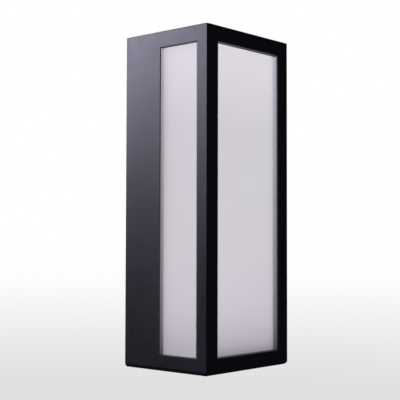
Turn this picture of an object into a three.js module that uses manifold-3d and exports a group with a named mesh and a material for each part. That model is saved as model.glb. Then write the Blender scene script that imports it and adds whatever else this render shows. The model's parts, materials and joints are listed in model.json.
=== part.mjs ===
// A box-shaped outdoor wall lantern: a thin-walled black housing with one front and two side windows
// of opal acrylic, a light engine on a steel tray behind them, and a steel wall plate that the lantern
// is drawn onto from the front.
//
// Frame, in millimetres: the wall is the plane y = 0, the lantern stands out of it along -Y, +X is to
// the right of someone who faces the lantern, +Z is up. The origin is the centre of the wall face.

import * as THREE from "three";
import { mergeVertices } from "three/addons/utils/BufferGeometryUtils.js";
import Module from "manifold-3d";

const wasm = await Module();
wasm.setup();

// ---------------------------------------------------------------- driving dimensions

const HEIGHT = 310; // outside of the housing
const WIDTH = 119;
const DEPTH = 101; // front face to wall
const WALL = 1.5; // thickness of the folded and welded sheet housing
const REAR_CLEARANCE = 0.5; // housing's rear rim to the wall
const BOTTOM_RADIUS = 4.2; // rounding of the three bottom edges
const TOP_RADIUS = 0.8;
const UPRIGHT_RADIUS = 0.7; // rounding of the two upright front edges
const EDGE_SEGMENTS = 10; // facets in a quarter of a rounded edge
const GAP = 0.3; // clearance between pieces that touch

const BAR = 14.5; // height of the frame above and below every window
const FRONT_POST = 15; // width of the frame beside the front window
const SIDE_POST = 11.6; // width of the frame in front of a side window
const REAR_STRIP = 43.8; // blind part of each side, behind its window

const GASKET_DEPTH = 4.5; // room between the housing and a diffuser
const GASKET_RIM = 5; // width of a gasket around its window
const PANEL = 3; // thickness of a diffuser
const PANEL_OVERLAP = 4; // of a diffuser behind the frame
const CAGE_WALL = 2;
const CAGE_OPEN = 1.5; // how much larger the cage's windows are than the housing's

const TRAY_SHEET = 1.2;
const TRAY_DEPTH = 37.8; // tray's rear face to the wall
const TRAY_RIM = 8;
const TRAY_SIDE_CLEARANCE = 1.2;

const BOARD_WIDTH = 14;
const BOARD_LENGTH = 252;
const BOARD_THICKNESS = 1.6;
const BOARD_X = 21; // centre of each board from the middle
const LED_COUNT = 12;
const LED_SIZE = 3.5;
const LED_HEIGHT = 0.8;

const PLATE_SHEET = 1.5;
const PLATE_HALF_WIDTH = 53.5;
const PLATE_HALF_HEIGHT = 146;
const PLATE_FLANGE = 8;
const TAB_REACH = 12.5; // how far the top and bottom tabs stand forward of the plate
const TAB_HALF_WIDTH = 42;
const WALL_GASKET = 2; // sponge rubber sheet between the plate and the wall
const CABLE_Z = 40; // height of the cable hole, at the middle of the junction box
const CABLE_HOLE = 16;
const BOX_SCREW_NEAR = 34.9; // half of a 2.75 inch junction-box screw spacing
const BOX_SCREW_FAR = 44.45; // half of a 3.5 inch junction-box screw spacing
const BOX_SCREW_RADIUS = 2.4;
const RETAINER_X = 32; // captive screws under the lantern
const RETAINER_DEPTH = 8; // captive screws to the wall

// Worked out from the driving dimensions.
const halfWidth = WIDTH / 2;
const halfHeight = HEIGHT / 2;
const innerX = halfWidth - WALL;
const innerZ = halfHeight - WALL;
const innerFrontY = -(DEPTH - WALL);
const windowZ = halfHeight - BAR;
const windowX = halfWidth - FRONT_POST;
const sideWindowFrontY = -(DEPTH - SIDE_POST);
const sideWindowRearY = -REAR_STRIP;
const panelZ = windowZ + PANEL_OVERLAP;
const frontPanelY = innerFrontY + GASKET_DEPTH;
const sidePanelX = innerX - GASKET_DEPTH;
const trayFrontY = -TRAY_DEPTH - TRAY_SHEET;
const plateRearY = -WALL_GASKET - GAP;
const plateFrontY = plateRearY - PLATE_SHEET;
const tabZ = innerZ - GAP;

// ---------------------------------------------------------------- finishes

const finish = (color, roughness, metalness) =>
  new THREE.MeshStandardMaterial({ color, roughness, metalness });

const finishes = {
  blackCoat: () => finish(0x17161a, 0.45, 0.3),
  opal: () => finish(0xe9e7ee, 0.4, 0),
  greySilicone: () => finish(0x8b898e, 0.7, 0),
  whiteCoat: () => finish(0xf0f0ee, 0.5, 0.1),
  zinc: () => finish(0xb4b7ba, 0.4, 0.9),
  stainless: () => finish(0xc2c3c6, 0.3, 1),
  whitePlastic: () => finish(0xe6e6e2, 0.5, 0),
  circuitBoard: () => finish(0xf2f3f0, 0.45, 0.1),
  spongeRubber: () => finish(0x2a2a2b, 0.95, 0),
  rubber: () => finish(0x1c1c1d, 0.8, 0),
  greenZinc: () => finish(0x2f7d3a, 0.4, 0.7),
  blackWire: () => finish(0x151515, 0.5, 0),
  whiteWire: () => finish(0xe4e4e0, 0.5, 0),
  greenWire: () => finish(0x2c8a3c, 0.5, 0),
  redWire: () => finish(0xb5211d, 0.5, 0),
};

// ---------------------------------------------------------------- solids and meshes

// A closed three.js geometry as a solid that can be joined and cut.
function solid(geometry) {
  const bare = geometry.clone();
  bare.deleteAttribute("normal");
  bare.deleteAttribute("uv");
  const merged = mergeVertices(bare, 1e-4);
  return new wasm.Manifold(
    new wasm.Mesh({
      numProp: 3,
      vertProperties: new Float32Array(merged.attributes.position.array),
      triVerts: new Uint32Array(merged.index.array),
    }),
  );
}

// A solid back as a three.js geometry.
function geometryOf(body) {
  const { vertProperties, triVerts } = body.getMesh();
  const geometry = new THREE.BufferGeometry();
  geometry.setAttribute("position", new THREE.BufferAttribute(vertProperties, 3));
  geometry.setIndex(new THREE.BufferAttribute(triVerts, 1));
  const faceted = geometry.toNonIndexed();
  faceted.computeVertexNormals();
  return faceted;
}

function join(...bodies) {
  return bodies.reduce((whole, next) => whole.add(next));
}

function cut(body, ...tools) {
  return tools.reduce((rest, tool) => rest.subtract(tool), body);
}

// A box between two opposite corners, in any order.
function block([ax, ay, az], [bx, by, bz]) {
  const box = new THREE.BoxGeometry(Math.abs(bx - ax), Math.abs(by - ay), Math.abs(bz - az));
  box.translate((ax + bx) / 2, (ay + by) / 2, (az + bz) / 2);
  return solid(box);
}

// Rotations that turn a cylinder along +Y, as three.js makes it, onto another axis.
const turns = {
  x: (geometry) => geometry.rotateZ(-Math.PI / 2),
  y: (geometry) => geometry,
  z: (geometry) => geometry.rotateX(Math.PI / 2),
};

// A rod along an axis, between two places on it, through the point (a, b) of the other two axes.
function rod(axis, radius, from, to, a, b, sides = 20) {
  const length = Math.abs(to - from);
  const geometry = turns[axis](new THREE.CylinderGeometry(radius, radius, length, sides));
  const middle = (from + to) / 2;
  const place = { x: [middle, a, b], y: [a, middle, b], z: [a, b, middle] }[axis];
  geometry.translate(...place);
  return solid(geometry);
}

// An outline in a plane, thickened between two places on the axis across it.
// plane "xy" is drawn as (x, y), "xz" as (x, z) and "yz" as (y, z).
function thicken(outline, plane, from, to, curveSegments = 6) {
  const depth = Math.abs(to - from);
  const low = Math.min(from, to);
  const geometry = new THREE.ExtrudeGeometry(outline, { depth, bevelEnabled: false, curveSegments });
  if (plane === "xz") {
    geometry.rotateX(Math.PI / 2);
    geometry.translate(0, low + depth, 0);
  } else if (plane === "yz") {
    geometry.rotateX(Math.PI / 2);
    geometry.rotateZ(Math.PI / 2);
    geometry.translate(low, 0, 0);
  } else {
    geometry.translate(0, 0, low);
  }
  return solid(geometry);
}

// A rectangle whose four corners have their own radii: low-low, high-low, high-high, low-high.
function roundedOutline(a0, b0, a1, b1, radii) {
  const [rLL, rHL, rHH, rLH] = radii;
  const shape = new THREE.Shape();
  const quarter = Math.PI / 2;
  shape.moveTo(a0 + rLL, b0);
  shape.lineTo(a1 - rHL, b0);
  if (rHL > 0) shape.absarc(a1 - rHL, b0 + rHL, rHL, -quarter, 0, false);
  shape.lineTo(a1, b1 - rHH);
  if (rHH > 0) shape.absarc(a1 - rHH, b1 - rHH, rHH, 0, quarter, false);
  shape.lineTo(a0 + rLH, b1);
  if (rLH > 0) shape.absarc(a0 + rLH, b1 - rLH, rLH, quarter, 2 * quarter, false);
  shape.lineTo(a0, b0 + rLL);
  if (rLL > 0) shape.absarc(a0 + rLL, b0 + rLL, rLL, 2 * quarter, 3 * quarter, false);
  return shape;
}

// A slot with round ends along X, cut through a sheet that lies across Y.
function slotTool(x0, x1, z, radius, yFrom, yTo) {
  const corners = [radius, radius, radius, radius];
  return thicken(roundedOutline(x0, z - radius, x1, z + radius, corners), "xz", yFrom, yTo);
}

// A profile of (radius, height) points spun about the Y axis; it ends on the axis or on itself.
function spun(points, sides = 28) {
  return new THREE.LatheGeometry(points.map(([r, h]) => new THREE.Vector2(r, h)), sides);
}

// A round wire through a list of points, with flat ends.
function wire(points, radius, steps) {
  const route = new THREE.CatmullRomCurve3(points.map((p) => new THREE.Vector3(...p)));
  const section = new THREE.Shape();
  section.absarc(0, 0, radius, 0, 2 * Math.PI, false);
  return solid(
    new THREE.ExtrudeGeometry(section, { steps, extrudePath: route, curveSegments: 4 }),
  );
}

const lantern = new THREE.Group();
const wallFixing = new THREE.Group();

function addPiece(group, name, body, material) {
  const mesh = new THREE.Mesh(geometryOf(body), material());
  mesh.name = name;
  group.add(mesh);
  return mesh;
}

// ---------------------------------------------------------------- screws

// The plain shank of every screw, up to its seat at y = 0, with a tapered tip.
function shankProfile(shank, length) {
  const tipRadius = shank * 0.75;
  const tipLength = shank * 0.4;
  return [
    [0, -length],
    [tipRadius, -length],
    [shank, -length + tipLength],
    [shank, 0],
  ];
}

// A pan-head screw with a cross recess, head on +Y and shank along -Y from the seat at y = 0.
function panScrew({ head, headHeight, shank, length }) {
  const rimHeight = headHeight * 0.45;
  const crownRadius = head * 0.72;
  const crownHeight = headHeight * 0.92;
  const facets = 12;
  const profile = [
    ...shankProfile(shank, length),
    [head, 0],
    [head, rimHeight],
    [crownRadius, crownHeight],
    [0, headHeight],
  ];
  const arm = head * 0.55;
  const blade = head * 0.11;
  const recessLow = headHeight * 0.45;
  const above = headHeight + 1;
  return cut(
    solid(spun(profile, facets)),
    block([-arm, recessLow, -blade], [arm, above, blade]),
    block([-blade, recessLow, -arm], [blade, above, arm]),
  );
}

// A button-head screw with a hexagon socket, head on +Y, seat at y = 0.
function buttonScrew({ head, headHeight, shank, length, socket }) {
  const rimHeight = headHeight * 0.25;
  const shoulderRadius = head * 0.88;
  const shoulderHeight = headHeight * 0.66;
  const crownRadius = head * 0.6;
  const socketLow = headHeight * 0.35;
  const facets = 18;
  const profile = [
    ...shankProfile(shank, length),
    [head, 0],
    [head, rimHeight],
    [shoulderRadius, shoulderHeight],
    [crownRadius, headHeight],
    [0, headHeight],
  ];
  return cut(solid(spun(profile, facets)), rod("y", socket, socketLow, headHeight + 1, 0, 0, 6));
}

const M4_PAN = { head: 3.7, headHeight: 2.4, shank: 1.75, length: 12 };
const M3_PAN = { head: 2.7, headHeight: 1.8, shank: 1.3, length: 5 };
const M3_SHORT = { ...M3_PAN, length: 3.7 };
const GROUND_PAN = { head: 4, headHeight: 2.6, shank: 1.6, length: 1.5 };
const TRAY_GROUND_LENGTH = 4;
const M4_BUTTON = { head: 3.8, headHeight: 2.2, shank: 1.9, length: 10, socket: 1.4 };
const HOLE_CLEARANCE = 0.4;

// Screws whose heads face the wall, seated on a face at a given y.
function addWallFacingScrew(group, name, body, x, y, z, material) {
  const mesh = addPiece(group, name, body, material);
  mesh.position.set(x, y, z);
  return mesh;
}

// Screws whose heads face the front.
function addFrontFacingScrew(group, name, body, x, y, z, material) {
  const mesh = addPiece(group, name, body, material);
  mesh.position.set(x, y, z);
  mesh.rotation.z = Math.PI;
  return mesh;
}

const sides = [
  { label: "left", sign: -1 },
  { label: "right", sign: 1 },
];
const ends = [
  { label: "upper", sign: 1 },
  { label: "lower", sign: -1 },
];

// ---------------------------------------------------------------- housing

const BOSS_X = 41;
const BOSS_Z = 149;
const BOSS_HALF = 4.2;
const BOSS_LENGTH = 16;
const WEEP_RADIUS = 2;
const WEEP_Y = -22;

// The lantern's box, smaller by inset on every side but the back, which reaches rearY.
function lanternBox(inset, rearY) {
  const x = halfWidth - inset;
  const z = halfHeight - inset;
  const front = -DEPTH + inset;
  const bottom = Math.max(BOTTOM_RADIUS - inset, 0);
  const top = Math.max(TOP_RADIUS - inset, 0);
  const upright = Math.max(UPRIGHT_RADIUS - inset, 0);
  const seenFromFront = thicken(
    roundedOutline(-x, -z, x, z, [bottom, bottom, top, top]), "xz", front, rearY, EDGE_SEGMENTS);
  const seenFromSide = thicken(
    roundedOutline(front, -z, rearY, z, [bottom, 0, 0, top]), "yz", -x, x, EDGE_SEGMENTS);
  const seenFromAbove = thicken(
    roundedOutline(-x, front, x, rearY, [upright, upright, 0, 0]), "xy", -z, z, EDGE_SEGMENTS);
  return seenFromFront.intersect(seenFromSide).intersect(seenFromAbove);
}

function trayBoss(signX, signZ) {
  const rearY = trayFrontY - GAP;
  return block(
    [signX * BOSS_X - BOSS_HALF, rearY, signZ * (BOSS_Z - BOSS_HALF)],
    [signX * BOSS_X + BOSS_HALF, rearY - BOSS_LENGTH, signZ * (innerZ + WALL / 2)],
  );
}

function trayBossHole(signX, signZ) {
  const rearY = trayFrontY - GAP;
  const radius = M4_PAN.shank + HOLE_CLEARANCE;
  return rod("y", radius, rearY + 1, rearY - BOSS_LENGTH + 2, signX * BOSS_X, signZ * BOSS_Z, 16);
}

// Open-ended notch in the bottom wall, which slides onto a captive screw.
function retainerNotch(signX) {
  const radius = M4_BUTTON.shank + HOLE_CLEARANCE;
  const x = signX * RETAINER_X;
  const outline = roundedOutline(
    x - radius, -RETAINER_DEPTH - radius, x + radius, 1, [radius, radius, 0, 0]);
  return thicken(outline, "xy", -halfHeight - 1, -innerZ + 1);
}

function makeHousing() {
  const shell = cut(
    lanternBox(0, -REAR_CLEARANCE),
    lanternBox(WALL, 5),
    block([-windowX, -DEPTH - 1, -windowZ], [windowX, innerFrontY + 1, windowZ]),
    block([-halfWidth - 1, sideWindowFrontY, -windowZ], [halfWidth + 1, sideWindowRearY, windowZ]),
  );
  const corners = sides.flatMap((side) => ends.map((end) => [side.sign, end.sign]));
  return cut(
    join(shell, ...corners.map((corner) => trayBoss(...corner))),
    ...corners.map((corner) => trayBossHole(...corner)),
    ...sides.map((side) => retainerNotch(side.sign)),
    rod("z", WEEP_RADIUS, -halfHeight - 1, -innerZ + 1, 0, WEEP_Y, 20),
  );
}

addPiece(lantern, "housing", makeHousing(), finishes.blackCoat);

// ---------------------------------------------------------------- gaskets and diffusers

const sidePanelFrontY = frontPanelY + PANEL + 0.5; // the side panels stand behind the front one
const sidePanelRearY = trayFrontY - 1.5; // and end short of the tray

function makeFrontGasket() {
  const front = innerFrontY + GAP;
  const rear = frontPanelY - GAP;
  const outerX = windowX + GASKET_RIM;
  const outerZ = windowZ + GASKET_RIM;
  return cut(
    block([-outerX, front, -outerZ], [outerX, rear, outerZ]),
    block([-windowX, front - 1, -windowZ], [windowX, rear + 1, windowZ]),
  );
}

function makeSideGasket(sign) {
  const outside = sign * (innerX - GAP);
  const inside = sign * (sidePanelX + GAP);
  const outerZ = windowZ + GASKET_RIM;
  return cut(
    block(
      [outside, sideWindowFrontY - GASKET_RIM, -outerZ],
      [inside, sidePanelRearY, outerZ],
    ),
    block(
      [outside + sign, sideWindowFrontY, -windowZ],
      [inside - sign, sideWindowRearY, windowZ],
    ),
  );
}

addPiece(lantern, "front_gasket", makeFrontGasket(), finishes.greySilicone);
addPiece(
  lantern,
  "front_diffuser",
  block(
    [-windowX - PANEL_OVERLAP, frontPanelY, -panelZ],
    [windowX + PANEL_OVERLAP, frontPanelY + PANEL, panelZ],
  ),
  finishes.opal,
);
for (const { label, sign } of sides) {
  addPiece(lantern, `${label}_gasket`, makeSideGasket(sign), finishes.greySilicone);
  addPiece(
    lantern,
    `${label}_diffuser`,
    block(
      [sign * sidePanelX, sidePanelFrontY, -panelZ],
      [sign * (sidePanelX - PANEL), sidePanelRearY, panelZ],
    ),
    finishes.opal,
  );
}

// ---------------------------------------------------------------- diffuser cage

// An open box, moulded in white, that presses the three diffusers onto their gaskets from inside.
function makeDiffuserCage() {
  const x = sidePanelX - PANEL - GAP;
  const z = panelZ - GAP;
  const front = frontPanelY + PANEL + GAP;
  const rear = trayFrontY - GAP;
  const openX = windowX + CAGE_OPEN;
  const openZ = windowZ + CAGE_OPEN;
  return cut(
    block([-x, front, -z], [x, rear, z]),
    block(
      [-x + CAGE_WALL, front + CAGE_WALL, -z + CAGE_WALL],
      [x - CAGE_WALL, rear + 1, z - CAGE_WALL],
    ),
    block([-openX, front - 1, -openZ], [openX, front + CAGE_WALL + 1, openZ]),
    block([-x - 1, sideWindowFrontY - CAGE_OPEN, -openZ], [x + 1, rear - CAGE_WALL, openZ]),
  );
}

addPiece(lantern, "diffuser_cage", makeDiffuserCage(), finishes.whitePlastic);

// ---------------------------------------------------------------- light engine tray

const BOARD_SCREW_INSET = 8;
const BOARD_SCREW_Z = BOARD_LENGTH / 2 - BOARD_SCREW_INSET;
const GROMMET_X = 0;
const GROMMET_Z = -104;
const GROMMET_RADIUS = 6;
const DRIVER = {
  x: -26, halfWidth: 20, halfLength: 65, thickness: 24, edgeRadius: 2.5, ear: 9, earThickness: 2,
};
const DRIVER_SCREW_Z = DRIVER.halfLength + DRIVER.ear / 2;
const TERMINAL = {
  x: 27, z: 30, halfWidth: 17, halfHeight: 11, thickness: 15, pitch: 10, poleShift: 3,
  wellRadius: 2.4, wellDepth: 3.5, ear: 7.5, earThickness: 3, screwInset: 4,
};
const TERMINAL_SCREW_X = TERMINAL.x + TERMINAL.halfWidth - TERMINAL.screwInset;
const GROUND_X = 38;
const GROUND_Z = -20;

function makeTray() {
  const x = innerX - TRAY_SIDE_CLEARANCE;
  const z = innerZ - TRAY_SIDE_CLEARANCE;
  const rimRear = -TRAY_DEPTH + TRAY_RIM;
  const pan = cut(
    block([-x, trayFrontY, -z], [x, rimRear, z]),
    block([-x + TRAY_SHEET, -TRAY_DEPTH, -z - 1], [x - TRAY_SHEET, rimRear + 1, z + 1]),
  );
  const hole = (radius, x0, z0) => rod("y", radius, trayFrontY - 1, -TRAY_DEPTH + 1, x0, z0, 16);
  const m4 = M4_PAN.shank + HOLE_CLEARANCE;
  const m3 = M3_PAN.shank + HOLE_CLEARANCE;
  const holes = [
    hole(GROMMET_RADIUS, GROMMET_X, GROMMET_Z),
    hole(m3, TERMINAL_SCREW_X, TERMINAL.z),
    hole(m4, GROUND_X, GROUND_Z),
  ];
  for (const side of sides) {
    for (const end of ends) {
      holes.push(hole(m4, side.sign * BOSS_X, end.sign * BOSS_Z));
      holes.push(hole(m3, side.sign * BOARD_X, end.sign * BOARD_SCREW_Z));
    }
  }
  for (const end of ends) holes.push(hole(m3, DRIVER.x, end.sign * DRIVER_SCREW_Z));
  return cut(pan, ...holes);
}

addPiece(lantern, "led_tray", makeTray(), finishes.whiteCoat);

for (const side of sides) {
  for (const end of ends) {
    addWallFacingScrew(
      lantern,
      `tray_screw_${end.label}_${side.label}`,
      panScrew(M4_PAN),
      side.sign * BOSS_X,
      -TRAY_DEPTH + GAP,
      end.sign * BOSS_Z,
      finishes.zinc,
    );
  }
}

// A rubber ring that lines a hole in a sheet across Y: a flange on each face and a neck between them.
function makeGrommet({ hole, sheet, bore, flange, flangeDepth }) {
  const half = sheet / 2 + GAP;
  const neck = hole - GAP;
  return solid(
    spun([
      [bore, -half - flangeDepth],
      [flange, -half - flangeDepth],
      [flange, -half],
      [neck, -half],
      [neck, half],
      [flange, half],
      [flange, half + flangeDepth],
      [bore, half + flangeDepth],
      [bore, -half - flangeDepth],
    ], 24),
  );
}

const trayGrommet = addPiece(
  lantern,
  "tray_grommet",
  makeGrommet({ hole: GROMMET_RADIUS, sheet: TRAY_SHEET, bore: 3.6, flange: 8, flangeDepth: 1.4 }),
  finishes.rubber,
);
trayGrommet.position.set(GROMMET_X, -TRAY_DEPTH - TRAY_SHEET / 2, GROMMET_Z);

// ---------------------------------------------------------------- light boards

const CONNECTOR = { z: -92, halfWidth: 4, halfLength: 2.5, height: 3.2 };
const LED_END_MARGIN = 18; // from each end of the board to its nearest package
const SOLDERED = 0.2; // how far a component reaches into its board

// A strip of aluminium circuit board with its light-emitting packages and a wire connector.
function makeBoard() {
  const front = -BOARD_THICKNESS;
  const strip = block(
    [-BOARD_WIDTH / 2, front, -BOARD_LENGTH / 2], [BOARD_WIDTH / 2, 0, BOARD_LENGTH / 2]);
  const pitch = (BOARD_LENGTH - 2 * LED_END_MARGIN) / (LED_COUNT - 1);
  const packages = Array.from({ length: LED_COUNT }, (_, i) => {
    const z = (i - (LED_COUNT - 1) / 2) * pitch;
    return block(
      [-LED_SIZE / 2, front + SOLDERED, z - LED_SIZE / 2],
      [LED_SIZE / 2, front - LED_HEIGHT, z + LED_SIZE / 2],
    );
  });
  const connector = block(
    [-CONNECTOR.halfWidth, front + SOLDERED, CONNECTOR.z - CONNECTOR.halfLength],
    [CONNECTOR.halfWidth, front - CONNECTOR.height, CONNECTOR.z + CONNECTOR.halfLength],
  );
  const screwHoles = ends.map((end) =>
    rod("y", M3_PAN.shank + HOLE_CLEARANCE, 1, front - 1, 0, end.sign * BOARD_SCREW_Z));
  return cut(join(strip, ...packages, connector), ...screwHoles);
}

for (const { label, sign } of sides) {
  const board = addPiece(lantern, `led_board_${label}`, makeBoard(), finishes.circuitBoard);
  board.position.set(sign * BOARD_X, trayFrontY - GAP, 0);
  for (const end of ends) {
    addFrontFacingScrew(
      lantern,
      `board_screw_${end.label}_${label}`,
      panScrew(M3_PAN),
      sign * BOARD_X,
      trayFrontY - BOARD_THICKNESS - 2 * GAP,
      end.sign * BOARD_SCREW_Z,
      finishes.zinc,
    );
  }
}

// ---------------------------------------------------------------- driver and wiring

const bayFrontY = -TRAY_DEPTH + GAP;

function makeDriver() {
  const { x, halfWidth: w, halfLength: l, thickness, edgeRadius, ear, earThickness } = DRIVER;
  const outline = roundedOutline(
    x - w, bayFrontY, x + w, bayFrontY + thickness, [0, 0, edgeRadius, edgeRadius]);
  const ears = block([x - w, bayFrontY, -l - ear], [x + w, bayFrontY + earThickness, l + ear]);
  const radius = M3_PAN.shank + HOLE_CLEARANCE;
  const holes = ends.map((end) =>
    rod("y", radius, bayFrontY - 1, bayFrontY + earThickness + 1, x, end.sign * DRIVER_SCREW_Z));
  return cut(join(thicken(outline, "xy", -l, l), ears), ...holes);
}

addPiece(lantern, "led_driver", makeDriver(), finishes.whitePlastic);
for (const end of ends) {
  addWallFacingScrew(
    lantern,
    `driver_screw_${end.label}`,
    panScrew(M3_SHORT),
    DRIVER.x,
    bayFrontY + DRIVER.earThickness + GAP,
    end.sign * DRIVER_SCREW_Z,
    finishes.zinc,
  );
}

const BORE_Y = bayFrontY + 8; // height of every wire entry above the tray
const WIRE_RADIUS = 1.3;
const poleX = (i) => TERMINAL.x - TERMINAL.poleShift + i * TERMINAL.pitch;

// A three-way screw terminal: wire bores run up and down, clamp screws are reached from the wall side.
function makeTerminalBlock() {
  const { x, z, halfWidth: w, halfHeight: h, wellRadius, wellDepth, ear, earThickness } = TERMINAL;
  const top = bayFrontY + TERMINAL.thickness;
  const bore = WIRE_RADIUS + HOLE_CLEARANCE;
  const fixing = M3_PAN.shank + HOLE_CLEARANCE;
  const earTop = bayFrontY + earThickness;
  const poles = [-1, 0, 1].map(poleX);
  return cut(
    block([x - w, bayFrontY, z - h], [x + w, top, z + h]),
    ...poles.map((px) => rod("z", bore, z - h - 1, z + h + 1, px, BORE_Y, 16)),
    ...poles.map((px) => rod("y", wellRadius, top - wellDepth, top + 1, px, z)),
    rod("y", fixing, bayFrontY - 1, earTop + 1, TERMINAL_SCREW_X, z),
    block([x + w - ear, earTop, z - h - 1], [x + w + 1, top + 1, z + h + 1]),
  );
}

// Crimped ring at the end of the ground lead, and its barrel, measured up from the screw.
const RING = { radius: 4.4, bore: 2.1, thickness: 0.8 };
const BARREL = { halfWidth: 1.6, height: 2.6, from: 4, to: 9 };
const ringY = bayFrontY + 0.1;

addPiece(lantern, "terminal_block", makeTerminalBlock(), finishes.whitePlastic);
addWallFacingScrew(
  lantern,
  "terminal_screw",
  panScrew(M3_PAN),
  TERMINAL_SCREW_X,
  bayFrontY + TERMINAL.earThickness + GAP,
  TERMINAL.z,
  finishes.zinc,
);
addWallFacingScrew(
  lantern,
  "tray_ground_screw",
  panScrew({ ...GROUND_PAN, length: TRAY_GROUND_LENGTH }),
  GROUND_X,
  ringY + RING.thickness + GAP,
  GROUND_Z,
  finishes.greenZinc,
);

const terminalTop = TERMINAL.z + TERMINAL.halfHeight;
const terminalLow = TERMINAL.z - TERMINAL.halfHeight;
const driverEnd = DRIVER.halfLength + GAP;

// Mains leads from the driver's upper end, over the top, and down into the terminal block.
const mainsRoute = (startX, endX, top) => [
  [startX, BORE_Y, driverEnd],
  [startX, BORE_Y, driverEnd + 8],
  [startX + 4, BORE_Y, top - 4],
  [startX + 12, BORE_Y, top],
  [(startX + endX) / 2, BORE_Y, top],
  [endX - 8, BORE_Y, top - 2],
  [endX, BORE_Y, top - 12],
  [endX, BORE_Y, terminalTop + 12],
  [endX, BORE_Y, terminalTop - 5],
];
const lineLead = wire(mainsRoute(-32, poleX(0), 96), WIRE_RADIUS, 32);
const neutralLead = wire(mainsRoute(-20, poleX(-1), 88), WIRE_RADIUS, 32);
addPiece(lantern, "lead_line", lineLead, finishes.blackWire);
addPiece(lantern, "lead_neutral", neutralLead, finishes.whiteWire);

// Ground lead from the third pole down to a ring under the green screw on the tray.
function makeGroundLead() {
  const x = GROUND_X;
  const z = GROUND_Z;
  const route = [
    [poleX(1), BORE_Y, terminalLow + 5],
    [poleX(1), BORE_Y, terminalLow - 6],
    [poleX(1) - 1, BORE_Y - 2, terminalLow - 16],
    [x + 3, ringY + 1.6, z + 13],
    [x, ringY + 0.9, z + 8],
    [x, ringY + 0.5, z + 4.5],
  ];
  const ring = cut(
    rod("y", RING.radius, ringY, ringY + RING.thickness, x, z, 24),
    rod("y", RING.bore, ringY - 1, ringY + 2, x, z),
  );
  const barrel = block(
    [x - BARREL.halfWidth, ringY, z + BARREL.from],
    [x + BARREL.halfWidth, ringY + BARREL.height, z + BARREL.to],
  );
  const lead = wire(route, WIRE_RADIUS, 20);
  const belowRing = block([x - 20, ringY - 5, z - 20], [x + 20, ringY, z + 40]);
  return cut(join(ring, barrel, lead), belowRing);
}

addPiece(lantern, "lead_ground", makeGroundLead(), finishes.greenWire);

// Light-engine lead: from the driver's lower end, through the grommet, up to the left board's connector.
const boardFaceY = trayFrontY - GAP - BOARD_THICKNESS;
const leadOffset = 8; // the lead leaves the driver's end clear of its fixing screw
const outputRoute = [
  [DRIVER.x + leadOffset, BORE_Y, -driverEnd],
  [DRIVER.x + leadOffset, BORE_Y, -driverEnd - 10],
  [DRIVER.x + leadOffset + 6, BORE_Y, -driverEnd - 22],
  [GROMMET_X - 6, BORE_Y - 1, GROMMET_Z + 8],
  [GROMMET_X - 1, BORE_Y - 5, GROMMET_Z + 1],
  [GROMMET_X, -TRAY_DEPTH - 1, GROMMET_Z],
  [GROMMET_X, boardFaceY - 4, GROMMET_Z],
  [GROMMET_X - 3, boardFaceY - 7, GROMMET_Z + 4],
  [GROMMET_X - 9, boardFaceY - 5, CONNECTOR.z - 2],
  [GROMMET_X - 13, boardFaceY - 2.6, CONNECTOR.z],
  [-BOARD_X + 4 + GAP, boardFaceY - 2.2, CONNECTOR.z],
];
addPiece(lantern, "led_lead", wire(outputRoute, WIRE_RADIUS, 36), finishes.redWire);

// Jumper between the two boards' connectors.
const JUMPER_RADIUS = 1.1;
const connectorEnd = CONNECTOR.z + CONNECTOR.halfLength + GAP;
const jumperRoute = [
  [-BOARD_X, boardFaceY - 2, connectorEnd],
  [-BOARD_X + 1, boardFaceY - 2.6, CONNECTOR.z + 7],
  [-BOARD_X + 10, boardFaceY - 3, CONNECTOR.z + 13],
  [0, boardFaceY - 3.2, CONNECTOR.z + 14],
  [BOARD_X - 10, boardFaceY - 3, CONNECTOR.z + 13],
  [BOARD_X - 1, boardFaceY - 2.6, CONNECTOR.z + 7],
  [BOARD_X, boardFaceY - 2, connectorEnd],
];
addPiece(lantern, "board_jumper", wire(jumperRoute, JUMPER_RADIUS, 20), finishes.whiteWire);

// ---------------------------------------------------------------- wall plate and its gasket

const GROUND_PLATE_X = 30;
const GROUND_PLATE_Z = 78;
const WALL_SCREW_Z = 128;
const WALL_SCREW_RADIUS = 2.5;
const FLANGE_HALF_LENGTH = 120;

// The pair of junction-box screw slots, widened by a margin all round.
function boxScrewSlots(margin, yFrom, yTo) {
  const radius = BOX_SCREW_RADIUS + margin;
  return sides.map(({ sign }) => {
    const near = sign * (BOX_SCREW_NEAR - radius);
    const far = sign * (BOX_SCREW_FAR + radius);
    return slotTool(Math.min(near, far), Math.max(near, far), CABLE_Z, radius, yFrom, yTo);
  });
}

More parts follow.
